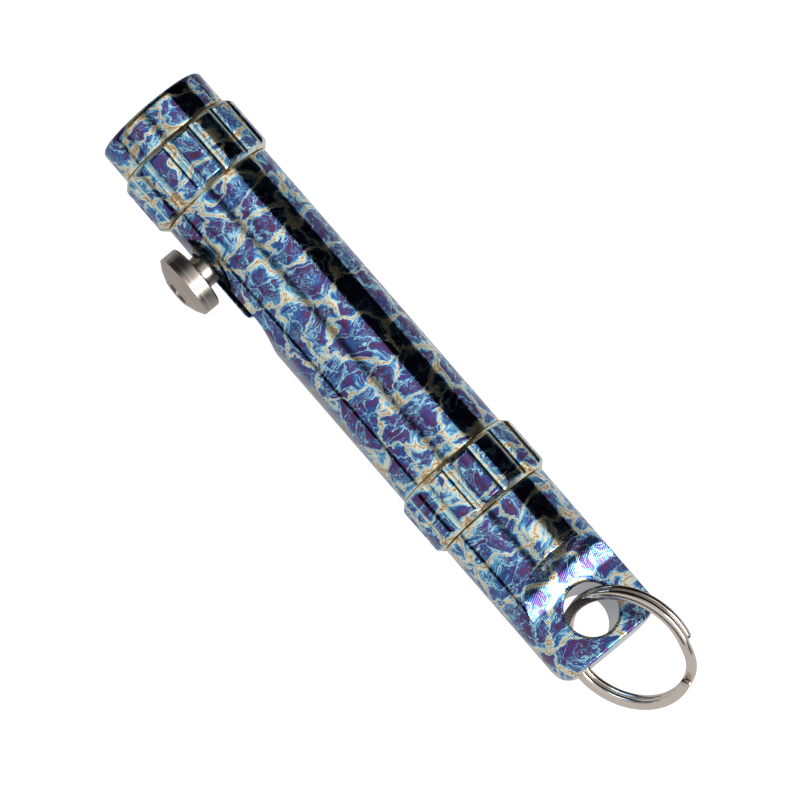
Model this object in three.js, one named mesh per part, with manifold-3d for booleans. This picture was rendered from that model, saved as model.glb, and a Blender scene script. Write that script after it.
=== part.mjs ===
// Bolt-action keychain flashlight, in millimetres.
// The light lies along +X: it shines towards -X, and its key ring is at the +X end.
// It rests on its two fluted collars and on the rim of its bolt knob, with +Z up.
// Every distance called "station" is measured along the light from the front of the bezel.
import * as THREE from 'three';
import { mergeVertices } from 'three/addons/utils/BufferGeometryUtils.js';
import Module from 'manifold-3d';

const wasm = await Module();
wasm.setup();

// ---------------------------------------------------------------- driving dimensions
const lightLength = 79.5;
const tubeRadius = 7.0;
const collarRadius = 7.8;
const boreRadius = 5.4;

// Rolls about the light's axis, in degrees from straight up towards -Y.
const knobRoll = 114.6;
const lugRoll = 14.0;
const fluteRoll = 13.9;

const bezelEnd = 4.4;
const frontCollar = { start: 4.5, end: 11.55 };
const barrelBody = { start: 11.65, end: 51.95 };
const rearCollar = { start: 52.05, end: 59.0 };
const capBodyStart = 59.1;
const collarChamfer = 0.65;
const fluteCount = 14;
const fluteDepth = 0.35;
const fluteWidth = 1.45;

const slotWidth = 4.5;
const slotStart = 15.3;
const slotTurnStation = 25.75;
const notchStart = 24.75;
const notchReach = 4.9;
const tongueRound = 1.0;

const stemRadius = 1.95;
const stemStation = slotStart + slotWidth / 2;
const knobRadius = 3.95;
const knobUnderside = 8.07;
const knobRim = 10.1;
const knobTop = 11.1;
const socketAcrossFlats = 3.0;
const socketDepth = 1.5;

const lugThickness = 6.2;
const scoopRadius = 5.5;
const lugFlatStart = 72.6;
const ringHoleStation = 74.8;
const ringHoleRadius = 3.15;
const ringHoleChamfer = 0.3;
const endRound = 2.2;

const ringOuterRadius = 8.1;
const ringWireRadial = 1.2;
const ringWireAxial = 0.8;
const ringTurnGap = 0.1;
const ringCentre = new THREE.Vector3(80.51, 1.29, 0.32);
const ringNormal = new THREE.Vector3(0.23, -0.943, 0.242).normalize();
const ringEndsTowards = new THREE.Vector3(0.469, 0.432, 0.769);

const fineSegments = 48;
const coarseSegments = 24;

// ---------------------------------------------------------------- making closed solids

// Leaves position only, welds shared corners and drops the slivers that welding flattens.
function weld(geometry) {
  const bare = geometry.clone();
  bare.deleteAttribute('normal');
  bare.deleteAttribute('uv');
  const merged = mergeVertices(bare, 1e-4);
  const corners = merged.index.array;
  const kept = [];
  for (let i = 0; i < corners.length; i += 3) {
    const [a, b, c] = [corners[i], corners[i + 1], corners[i + 2]];
    if (a !== b && b !== c && c !== a) {
      kept.push(a, b, c);
    }
  }
  merged.setIndex(kept);
  return merged;
}

function toSolid(geometry) {
  const welded = weld(geometry);
  return new wasm.Manifold(new wasm.Mesh({
    numProp: 3,
    vertProperties: new Float32Array(welded.attributes.position.array),
    triVerts: new Uint32Array(welded.index.array),
  }));
}

function toGeometry(solid) {
  const mesh = solid.getMesh();
  const geometry = new THREE.BufferGeometry();
  geometry.setAttribute('position', new THREE.BufferAttribute(new Float32Array(mesh.vertProperties), 3));
  geometry.setIndex(new THREE.BufferAttribute(new Uint32Array(mesh.triVerts), 1));
  return geometry;
}

function cut(geometry, ...cutters) {
  let solid = toSolid(geometry);
  for (const cutter of cutters) {
    solid = solid.subtract(toSolid(cutter));
  }
  return toGeometry(solid);
}

// A mirrored shape has its faces inside out, so each face's corners are taken the other way.
function mirrored(geometry) {
  const welded = weld(geometry);
  const corners = welded.index.array;
  for (let i = 0; i < corners.length; i += 3) {
    [corners[i + 1], corners[i + 2]] = [corners[i + 2], corners[i + 1]];
  }
  return welded;
}

// A turned piece on the light's axis, from a profile of [station, radius] points.
function turned(profile, segments = fineSegments) {
  const points = profile.map(([station, radius]) => new THREE.Vector2(radius, station));
  return new THREE.LatheGeometry(points, segments).rotateZ(-Math.PI / 2);
}

// A hollow turned piece with square ends.
function sleeve(start, end, innerRadius, outerRadius, segments = fineSegments) {
  return turned([
    [start, innerRadius],
    [start, outerRadius],
    [end, outerRadius],
    [end, innerRadius],
    [start, innerRadius],
  ], segments);
}

function disc(start, end, radius, segments = coarseSegments) {
  return turned([[start, 0], [start, radius], [end, radius], [end, 0]], segments);
}

function oRing(station, ringRadius, sectionRadius) {
  const ring = new THREE.TorusGeometry(ringRadius, sectionRadius, 6, 28);
  return ring.rotateY(Math.PI / 2).translate(station, 0, 0);
}

// Rolls a piece made pointing up (+Z) about the light's axis, towards -Y.
function rollTo(geometry, degrees) {
  return geometry.rotateX(THREE.MathUtils.degToRad(degrees));
}

// Points inside a quarter round, whose centre is at the station. Side 1 runs from the surface to
// an end face, and side -1 from a front face to the surface.
function quarterRound(station, radius, size, side, steps) {
  const points = [];
  for (let i = 1; i < steps; i += 1) {
    const share = side < 0 ? 1 - i / steps : i / steps;
    const angle = (Math.PI / 2) * share;
    points.push([
      station + side * size * Math.sin(angle),
      radius - size + size * Math.cos(angle),
    ]);
  }
  return points;
}

// A round pin or hole that points away from the axis, between two heights above it.
function radialPin(station, low, high, radius, segments = 24) {
  return new THREE.CylinderGeometry(radius, radius, high - low, segments)
    .rotateX(Math.PI / 2)
    .translate(station, 0, (low + high) / 2);
}

const finishes = {
  flamedTitanium: { color: 0x6b5b86, roughness: 0.12, metalness: 1.0 },
  turnedTitanium: { color: 0xa9a099, roughness: 0.3, metalness: 1.0 },
  nickel: { color: 0xb5aca3, roughness: 0.15, metalness: 1.0 },
  glass: { color: 0xdfe8ea, roughness: 0.02, metalness: 0.0, transparent: true, opacity: 0.35 },
  rubber: { color: 0x141414, roughness: 0.8, metalness: 0.0 },
  mirror: { color: 0xe6e6e6, roughness: 0.05, metalness: 1.0 },
  phosphor: { color: 0xf0d23c, roughness: 0.5, metalness: 0.0 },
  whitePlastic: { color: 0xe8e6df, roughness: 0.5, metalness: 0.0 },
  blackPlastic: { color: 0x1b1b1d, roughness: 0.5, metalness: 0.0 },
  copper: { color: 0xb4683c, roughness: 0.35, metalness: 1.0 },
  brass: { color: 0xc9a24a, roughness: 0.3, metalness: 1.0 },
  board: { color: 0x1f5a34, roughness: 0.5, metalness: 0.0 },
  steel: { color: 0xb9bcc0, roughness: 0.35, metalness: 1.0 },
  cellWrap: { color: 0x3b5f8a, roughness: 0.35, metalness: 0.0 },
};

const group = new THREE.Group();

function addPiece(name, geometry, finish) {
  const welded = weld(geometry);
  welded.computeVertexNormals();
  const mesh = new THREE.Mesh(welded, new THREE.MeshStandardMaterial(finishes[finish]));
  mesh.name = name;
  group.add(mesh);
}

// ---------------------------------------------------------------- head: bezel, lens, reflector

const bezelRound = 0.9;
addPiece('bezel_ring', turned([
  [0, 5.6],
  [0, tubeRadius - bezelRound],
  ...quarterRound(bezelRound, tubeRadius, bezelRound, -1, 4),
  [bezelRound, tubeRadius],
  [bezelEnd, tubeRadius],
  [bezelEnd, 6.05],
  [0.85, 6.05],
  [0.85, 5.0],
  [0.6, 5.0],
  [0, 5.6],
]), 'flamedTitanium');

addPiece('lens', disc(0.95, 2.25, 5.75), 'glass');
addPiece('lens_o_ring', oRing(2.58, 5.42, 0.24), 'rubber');

// The reflector's bowl is a parabola that opens towards the lens.
const reflectorFront = 2.95;
const reflectorBack = 7.3;
const reflectorMouth = 4.6;
const reflectorThroat = 1.9;
const bowl = [];
const bowlSteps = 5;
for (let i = 0; i <= bowlSteps; i += 1) {
  const radius = reflectorMouth + (reflectorThroat - reflectorMouth) * (i / bowlSteps);
  const depth = (reflectorMouth ** 2 - radius ** 2) / (reflectorMouth ** 2 - reflectorThroat ** 2);
  bowl.push([reflectorFront + (reflectorBack - reflectorFront) * depth, radius]);
}
addPiece('reflector', turned([
  ...bowl.slice().reverse(),
  [reflectorFront, 5.0],
  [reflectorFront + 0.8, 5.0],
  [reflectorBack, 2.7],
  [reflectorBack, reflectorThroat],
], coarseSegments), 'mirror');

// ---------------------------------------------------------------- light engine

const emitterSize = 3.45;
const emitterBase = new THREE.BoxGeometry(0.5, emitterSize, emitterSize).translate(8.2, 0, 0);
addPiece('led_emitter', emitterBase, 'phosphor');

addPiece('led_gasket', sleeve(7.42, 8.35, 2.75, 4.85, coarseSegments), 'whitePlastic');
addPiece('led_board', disc(8.5, 9.4, 4.85), 'copper');

const wireOffset = 3.1;
const wireRadius = 0.35;
const wireHoles = [-1, 1].map((side) => new THREE.CylinderGeometry(0.65, 0.65, 4, 12)
  .rotateZ(Math.PI / 2)
  .translate(10.5, side * wireOffset, 0));
const pill = turned([
  [10.6, 0],
  [10.6, 4.3],
  [12.7, 4.3],
  [12.7, 5.05],
  [9.5, 5.05],
  [9.5, 0],
].reverse(), coarseSegments);
addPiece('engine_pill', cut(pill, ...wireHoles), 'brass');

for (const [name, side] of [['led_wire_positive', -1], ['led_wire_negative', 1]]) {
  const wire = new THREE.CylinderGeometry(wireRadius, wireRadius, 2.3, 10).rotateZ(Math.PI / 2);
  addPiece(name, wire.translate(10.65, side * wireOffset, 0), side < 0 ? 'rubber' : 'blackPlastic');
}

addPiece('driver_board', disc(12.0, 12.7, 4.15), 'board');
const chip = new THREE.BoxGeometry(0.8, 2.6, 2.6).translate(11.5, 0, 1.0);
addPiece('driver_chip', chip, 'blackPlastic');
for (const [name, side] of [['driver_capacitor_a', -1], ['driver_capacitor_b', 1]]) {
  const capacitor = new THREE.BoxGeometry(0.8, 0.9, 1.7).translate(11.5, side * 1.3, -1.9);
  addPiece(name, capacitor, 'phosphor');
}
addPiece('driver_contact', disc(12.8, 13.15, 1.5, 20), 'brass');

// ---------------------------------------------------------------- collars and barrel

// Shallow flutes along a collar, which fade out in its end chamfers.
function fluted(collar, station) {
  const halfWidth = fluteWidth / 2;
  const sagitta = fluteDepth - (collarRadius - Math.sqrt(collarRadius ** 2 - halfWidth ** 2));
  const cutterRadius = (halfWidth ** 2 + sagitta ** 2) / (2 * sagitta);
  const cutterHeight = collarRadius - fluteDepth + cutterRadius;
  const length = station.end - station.start + 2;
  const cutters = [];
  for (let i = 0; i < fluteCount; i += 1) {
    const cutter = new THREE.CylinderGeometry(cutterRadius, cutterRadius, length, 14)
      .rotateZ(Math.PI / 2)
      .translate((station.start + station.end) / 2, 0, cutterHeight);
    cutters.push(rollTo(cutter, fluteRoll + (360 * i) / fluteCount));
  }
  return cut(collar, ...cutters);
}

const shoulder = collarRadius - collarChamfer;
const headCollar = turned([
  [2.95, 5.15],
  [2.95, 5.9],
  [frontCollar.start, 5.9],
  [frontCollar.start, shoulder],
  [frontCollar.start + collarChamfer, collarRadius],
  [frontCollar.end - collarChamfer, collarRadius],
  [frontCollar.end, shoulder],
  [frontCollar.end, 6.45],
  [8.9, 6.45],
  [8.9, 5.15],
  [2.95, 5.15],
]);
addPiece('front_collar', fluted(headCollar, frontCollar), 'flamedTitanium');
addPiece('head_o_ring', oRing(10.25, 6.14, 0.24), 'rubber');

// The bolt's guide slot, drawn flat as [along the light, round the light]: a long leg that
// turns into a side notch, where the bolt is parked.
function slotOutline(withNotch) {
  const half = slotWidth / 2;
  const outline = new THREE.Shape();
  outline.moveTo(stemStation, -half);
  outline.lineTo(slotTurnStation, -half);
  outline.absarc(slotTurnStation, half, slotWidth, -Math.PI / 2, 0, false);
  if (withNotch) {
    const notchEnd = slotTurnStation + slotWidth;
    const notchHalf = (notchEnd - notchStart) / 2;
    outline.lineTo(notchEnd, notchReach);
    outline.absarc(notchEnd - notchHalf, notchReach, notchHalf, 0, Math.PI, false);
    outline.lineTo(notchStart, half + tongueRound);
    outline.absarc(notchStart - tongueRound, half + tongueRound, tongueRound, 0, -Math.PI / 2, true);
  }
  outline.lineTo(stemStation, half);
  outline.absarc(stemStation, 0, half, Math.PI / 2, (3 * Math.PI) / 2, false);
  return outline;
}

const slotInside = 3.5;
const slotOutside = 9.5;
function slotSlab(withNotch) {
  const slab = new THREE.ExtrudeGeometry(slotOutline(withNotch), {
    depth: slotOutside - slotInside,
    bevelEnabled: false,
    curveSegments: 7,
  });
  return slab.translate(0, 0, slotInside);
}

// The leg's walls are parallel, as a straight cutter leaves them.
function slotLegCutter() {
  return rollTo(slotSlab(false).scale(1, -1, 1), knobRoll);
}

// The notch is milled while the tube turns, so its outline wraps round the tube.
function slotNotchCutter() {
  const slab = slotSlab(true);
  const position = slab.attributes.position;
  for (let i = 0; i < position.count; i += 1) {
    const roll = position.getY(i) / tubeRadius;
    const height = position.getZ(i);
    position.setXYZ(i, position.getX(i), -height * Math.sin(roll), height * Math.cos(roll));
  }
  return rollTo(slab, knobRoll);
}

const spigotRadius = 6.3;
const barrelTube = turned([
  [9.1, boreRadius],
  [9.1, spigotRadius],
  [9.9, spigotRadius],
  [9.9, 5.86],
  [10.6, 5.86],
  [10.6, spigotRadius],
  [barrelBody.start, spigotRadius],
  [barrelBody.start, tubeRadius],
  [barrelBody.end, tubeRadius],
  [barrelBody.end, spigotRadius],
  [55.5, spigotRadius],
  [55.5, boreRadius],
  [9.1, boreRadius],
]);
addPiece('barrel', cut(
  barrelTube,
  mirrored(slotLegCutter()),
  mirrored(slotNotchCutter()),
), 'flamedTitanium');

const couplingCollar = turned([
  [rearCollar.start, 6.4],
  [rearCollar.start, shoulder],
  [rearCollar.start + collarChamfer, collarRadius],
  [rearCollar.end - collarChamfer, collarRadius],
  [rearCollar.end, shoulder],
  [rearCollar.end, 6.4],
  [rearCollar.start, 6.4],
]);
addPiece('rear_collar', fluted(couplingCollar, rearCollar), 'flamedTitanium');

// ---------------------------------------------------------------- bolt: carriage, stem, knob

const stemFootRadius = 1.45;
const carriage = turned([
  [13.75, 1.3],
  [13.75, 4.95],
  [14.05, 5.25],
  [21.1, 5.25],
  [21.4, 4.95],
  [21.4, 1.3],
  [13.75, 1.3],
], 40);
const stemSeat = rollTo(radialPin(stemStation, 2.2, 6.5, stemFootRadius + 0.1), knobRoll);
addPiece('bolt_carriage', cut(carriage, stemSeat), 'blackPlastic');

addPiece('contact_pin', turned([
  [13.3, 0],
  [13.3, 1.8],
  [13.65, 1.8],
  [13.65, 1.0],
  [21.5, 1.0],
  [21.5, 1.8],
  [21.9, 1.8],
  [21.9, 0],
], 20), 'brass');

// Turned about the bolt's own axis: radii against heights above the light's axis.
function boltTurned(profile, segments) {
  const points = profile.map(([height, radius]) => new THREE.Vector2(radius, height));
  const piece = new THREE.LatheGeometry(points, segments).rotateX(Math.PI / 2);
  return rollTo(piece.translate(stemStation, 0, 0), knobRoll);
}

addPiece('bolt_stem', boltTurned([
  [2.45, 0],
  [2.45, stemFootRadius],
  [5.5, stemFootRadius],
  [5.5, stemRadius],
  [knobUnderside - 0.1, stemRadius],
  [knobUnderside - 0.1, 1.2],
  [8.9, 1.2],
  [8.9, 0],
], 32), 'turnedTitanium');

const knob = boltTurned([
  [9.1, 0],
  [9.1, 1.3],
  [knobUnderside, 1.3],
  [knobUnderside, knobRadius - 0.3],
  [knobUnderside + 0.3, knobRadius],
  [knobRim, knobRadius],
  [knobTop, 1.95],
  [knobTop, 0],
], 48);
const socketCorner = socketAcrossFlats / Math.sqrt(3);
const hexSocket = radialPin(stemStation, knobTop - socketDepth, knobTop + 0.5, socketCorner, 6);
addPiece('bolt_knob', cut(knob, rollTo(hexSocket, knobRoll)), 'turnedTitanium');

// ---------------------------------------------------------------- springs, cell

class ConeCoil extends THREE.Curve {
  constructor(start, end, startRadius, endRadius, turns) {
    super();
    Object.assign(this, { start, end, startRadius, endRadius, turns });
  }

  getPoint(t, target = new THREE.Vector3()) {
    const angle = 2 * Math.PI * this.turns * t;
    const radius = THREE.MathUtils.lerp(this.startRadius, this.endRadius, t);
    const station = THREE.MathUtils.lerp(this.start, this.end, t);
    return target.set(station, radius * Math.cos(angle), radius * Math.sin(angle));
  }
}

function coneSpring(start, end, startRadius, endRadius, turns, wire) {
  const section = new THREE.Shape().absarc(0, 0, wire, 0, 2 * Math.PI, false);
  return new THREE.ExtrudeGeometry(section, {
    steps: turns * 14,
    extrudePath: new ConeCoil(start, end, startRadius, endRadius, turns),
    bevelEnabled: false,
    curveSegments: 3,
  });
}

addPiece('bolt_spring', coneSpring(22.0, 32.8, 4.6, 1.7, 5, 0.22), 'steel');

addPiece('cell_positive_cap', disc(33.2, 33.85, 2.5, 24), 'steel');
addPiece('cell_insulator', sleeve(33.6, 33.85, 2.9, 4.7, 24), 'whitePlastic');
addPiece('cell_can', turned([
  [33.95, 0],
  [33.95, 4.4],
  [34.35, 4.8],
  [61.1, 4.8],
  [61.5, 4.4],
  [61.5, 0],
], coarseSegments), 'steel');
addPiece('cell_wrap', sleeve(34.1, 61.2, 4.9, 5.1, coarseSegments), 'cellWrap');

// ---------------------------------------------------------------- tail cap

const capFloor = 65.4;
const capBlank = turned([
  [capFloor, 0],
  [capFloor, boreRadius],
  [56.0, boreRadius],
  [56.0, 6.05],
  [56.2, 6.25],
  [57.2, 6.25],
  [57.2, 5.86],
  [57.9, 5.86],
  [57.9, 6.25],
  [capBodyStart, 6.25],
  [capBodyStart, tubeRadius],
  [lightLength - endRound, tubeRadius],
  ...quarterRound(lightLength - endRound, tubeRadius, endRound, 1, 6),
  [lightLength, tubeRadius - endRound],
  [lightLength, 0],
]);

// One cheek of the lug: flat at the hole, sweeping up in a round scoop to the tube's surface.
function cheekCutter(side) {
  const halfLug = lugThickness / 2;
  const top = tubeRadius + 1;
  const scoop = new THREE.Shape();
  const startAngle = Math.PI + Math.asin((scoopRadius + halfLug - top) / scoopRadius);
  scoop.moveTo(lightLength + 1, halfLug);
  scoop.lineTo(lightLength + 1, top);
  scoop.lineTo(lugFlatStart + scoopRadius * Math.cos(startAngle), top);
  scoop.absarc(lugFlatStart, halfLug + scoopRadius, scoopRadius, startAngle, 1.5 * Math.PI, false);
  const width = 2 * tubeRadius + 2;
  const slab = new THREE.ExtrudeGeometry(scoop, {
    depth: width,
    bevelEnabled: false,
    curveSegments: 7,
  });
  slab.translate(0, 0, -width / 2).rotateX(Math.PI / 2);
  return rollTo(slab, lugRoll + (side < 0 ? 180 : 0));
}

const holeReach = lugThickness / 2;
const ringHole = rollTo(radialPin(ringHoleStation, -9, 9, ringHoleRadius, 32), lugRoll);
function holeMouth(side) {
  const overrun = 0.5;
  const wide = ringHoleRadius + ringHoleChamfer + overrun;
  const narrow = ringHoleRadius - 0.2;
  const depth = wide - narrow;
  const mouth = new THREE.CylinderGeometry(wide, narrow, depth, 32)
    .rotateX(Math.PI / 2)
    .translate(ringHoleStation, 0, holeReach + overrun - depth / 2);
  return rollTo(mouth, lugRoll + (side < 0 ? 180 : 0));
}
addPiece('tail_cap', cut(
  capBlank,
  cheekCutter(1),
  cheekCutter(-1),
  ringHole,
  holeMouth(1),
  holeMouth(-1),
), 'flamedTitanium');
addPiece('tail_o_ring', oRing(57.55, 6.13, 0.19), 'rubber');
addPiece('tail_spring', coneSpring(61.95, 64.75, 1.8, 4.7, 4, 0.22), 'steel');
addPiece('tail_contact_disc', disc(65.05, 65.3, 5.0), 'brass');

// ---------------------------------------------------------------- split key ring

// A flat wire wound twice round. Its two ends meet the kink where one turn climbs onto the other.
function splitRing() {
  const kink = THREE.MathUtils.degToRad(40);
  const wrap = 4 * Math.PI - kink - 0.06;
  const climb = ringWireAxial + ringTurnGap;
  const bar = new THREE.BoxGeometry(1, ringWireRadial, ringWireAxial, 88, 1, 1);
  const position = bar.attributes.position;
  const meanRadius = ringOuterRadius - ringWireRadial / 2;
  for (let i = 0; i < position.count; i += 1) {
    const angle = wrap * (position.getX(i) + 0.5);
    const climbed = THREE.MathUtils.smoothstep(angle, 2 * Math.PI - kink, 2 * Math.PI);
    const radius = meanRadius - position.getY(i);
    const lift = position.getZ(i) + climb * (climbed - 0.5);
    position.setXYZ(i, radius * Math.cos(angle), radius * Math.sin(angle), lift);
  }
  const sideways = new THREE.Vector3().crossVectors(ringNormal, ringEndsTowards).normalize();
  const towardsEnds = new THREE.Vector3().crossVectors(sideways, ringNormal);
  const lie = new THREE.Matrix4().makeBasis(towardsEnds, sideways, ringNormal);
  return bar.applyMatrix4(lie.setPosition(ringCentre));
}
addPiece('split_ring', splitRing(), 'nickel');

// ---------------------------------------------------------------- stand the light on its surface
const bounds = new THREE.Box3().setFromObject(group);
const middle = bounds.getCenter(new THREE.Vector3());
group.position.set(-middle.x, -middle.y, -bounds.min.z);
group.updateMatrixWorld(true);

export default group;
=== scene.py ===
import math

import bmesh
import bpy
import numpy as np
from mathutils import Matrix, Vector


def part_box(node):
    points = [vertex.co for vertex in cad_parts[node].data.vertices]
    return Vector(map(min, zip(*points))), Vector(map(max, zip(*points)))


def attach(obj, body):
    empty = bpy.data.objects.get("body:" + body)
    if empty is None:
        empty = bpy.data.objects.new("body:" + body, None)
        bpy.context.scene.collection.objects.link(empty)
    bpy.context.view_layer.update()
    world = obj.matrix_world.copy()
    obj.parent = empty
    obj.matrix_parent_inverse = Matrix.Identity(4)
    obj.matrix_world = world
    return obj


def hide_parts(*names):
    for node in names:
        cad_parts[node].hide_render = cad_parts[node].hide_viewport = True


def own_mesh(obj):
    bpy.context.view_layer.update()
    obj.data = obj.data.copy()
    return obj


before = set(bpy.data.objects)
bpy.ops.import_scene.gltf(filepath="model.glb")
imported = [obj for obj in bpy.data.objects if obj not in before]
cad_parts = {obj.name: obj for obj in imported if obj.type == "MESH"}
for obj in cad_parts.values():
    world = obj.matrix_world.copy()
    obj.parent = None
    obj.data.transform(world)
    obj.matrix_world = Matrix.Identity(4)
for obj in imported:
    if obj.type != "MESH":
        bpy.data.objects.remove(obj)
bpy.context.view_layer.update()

# ------------------------------------------------------------------ camera
# A long lens about 1.2 m away, high on the bolt's side, rolled so that the light runs from the
# upper left to the lower right of the picture.
MM = 0.001
lit_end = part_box("bezel_ring")[0].x
tube_low, tube_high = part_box("barrel")
axis_y = (tube_low.y + tube_high.y) / 2
axis_z = (tube_low.z + tube_high.z) / 2


def at(station, roll, height):
    """Row-frame points, in metres. A station is millimetres along the light from its lit end, a
    roll is degrees about its axis from straight up towards -Y, and a height is millimetres from
    the axis."""
    station, roll, height = np.broadcast_arrays(station, np.radians(roll), height)
    return np.stack([
        lit_end + station * MM,
        axis_y - height * np.sin(roll) * MM,
        axis_z + height * np.cos(roll) * MM,
    ], axis=-1)


VIEW_ROLL = 32.6
VIEW_TAIL_LEAN = 5.5
PICTURE_TURN = 49.1
CAMERA_DISTANCE = 1.2
PICTURE_WIDTH = 0.0893
AIM_STATION = 42.9
lean = math.radians(VIEW_TAIL_LEAN)
toward_camera = Vector(at(0, VIEW_ROLL, 1) - at(0, 0, 0)).normalized() * math.cos(lean)
toward_camera.x += math.sin(lean)
along_light = (Vector((1, 0, 0)) - toward_camera * toward_camera.x).normalized()
across_light = toward_camera.cross(along_light) * -1
turn = math.radians(PICTURE_TURN)
picture_right = along_light * math.cos(turn) - across_light * math.sin(turn)
picture_up = -(along_light * math.sin(turn) + across_light * math.cos(turn))
camera = bpy.data.objects.new("camera", bpy.data.cameras.new("camera"))
bpy.context.scene.collection.objects.link(camera)
camera.data.sensor_width = 36.0
camera.data.lens = 36.0 * CAMERA_DISTANCE / PICTURE_WIDTH
camera.data.clip_start = 0.05
camera.data.clip_end = 20.0
aim = Vector(at(AIM_STATION, 0, 0)) - across_light * 0.07 * MM
camera.matrix_world = Matrix.Translation(aim + toward_camera * CAMERA_DISTANCE) @ Matrix((
    picture_right, picture_up, toward_camera,
)).transposed().to_4x4()
bpy.context.scene.camera = camera

# ------------------------------------------------------------------ bezel ring
# The turned ring that screws onto the head and holds the lens down, with a rounded front edge. It
# is laminated titanium, polished and coloured by heat: the two alloys in its layers take the heat
# differently, so cream and tan veins run between cells of blue, violet and purple brown.
TUBE_RADIUS = 7.0
LUG_ROLL = 14.0
EDGE_FADE = 0.55


def linear(hex_colour):
    """An sRGB hex colour as linear RGBA."""
    channels = [int(hex_colour[i:i + 2], 16) / 255 for i in (1, 3, 5)]
    return [c / 12.92 if c <= 0.04045 else ((c + 0.055) / 1.055) ** 2.4 for c in channels] + [1.0]


def add(tree, kind, inputs=None, **settings):
    """Adds a node with its settings, and sets or links its inputs."""
    node = tree.nodes.new(kind)
    for key, value in settings.items():
        setattr(node, key, value)
    for key, value in (inputs or {}).items():
        if isinstance(value, bpy.types.NodeSocket):
            tree.links.new(value, node.inputs[key])
        else:
            node.inputs[key].default_value = value
    return node


def new_material(name):
    """An empty material with its output, as (material, tree, output)."""
    material = bpy.data.materials.new(name)
    material.use_nodes = True
    tree = material.node_tree
    tree.nodes.clear()
    return material, tree, add(tree, "ShaderNodeOutputMaterial")


def colour_stops(ramp, stops):
    """Sets a colour ramp to (position, hex) stops."""
    elements = ramp.color_ramp.elements
    while len(elements) < len(stops):
        elements.new(1.0)
    for element, (position, colour) in zip(elements, stops):
        element.position = position
        element.color = linear(colour)


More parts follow.
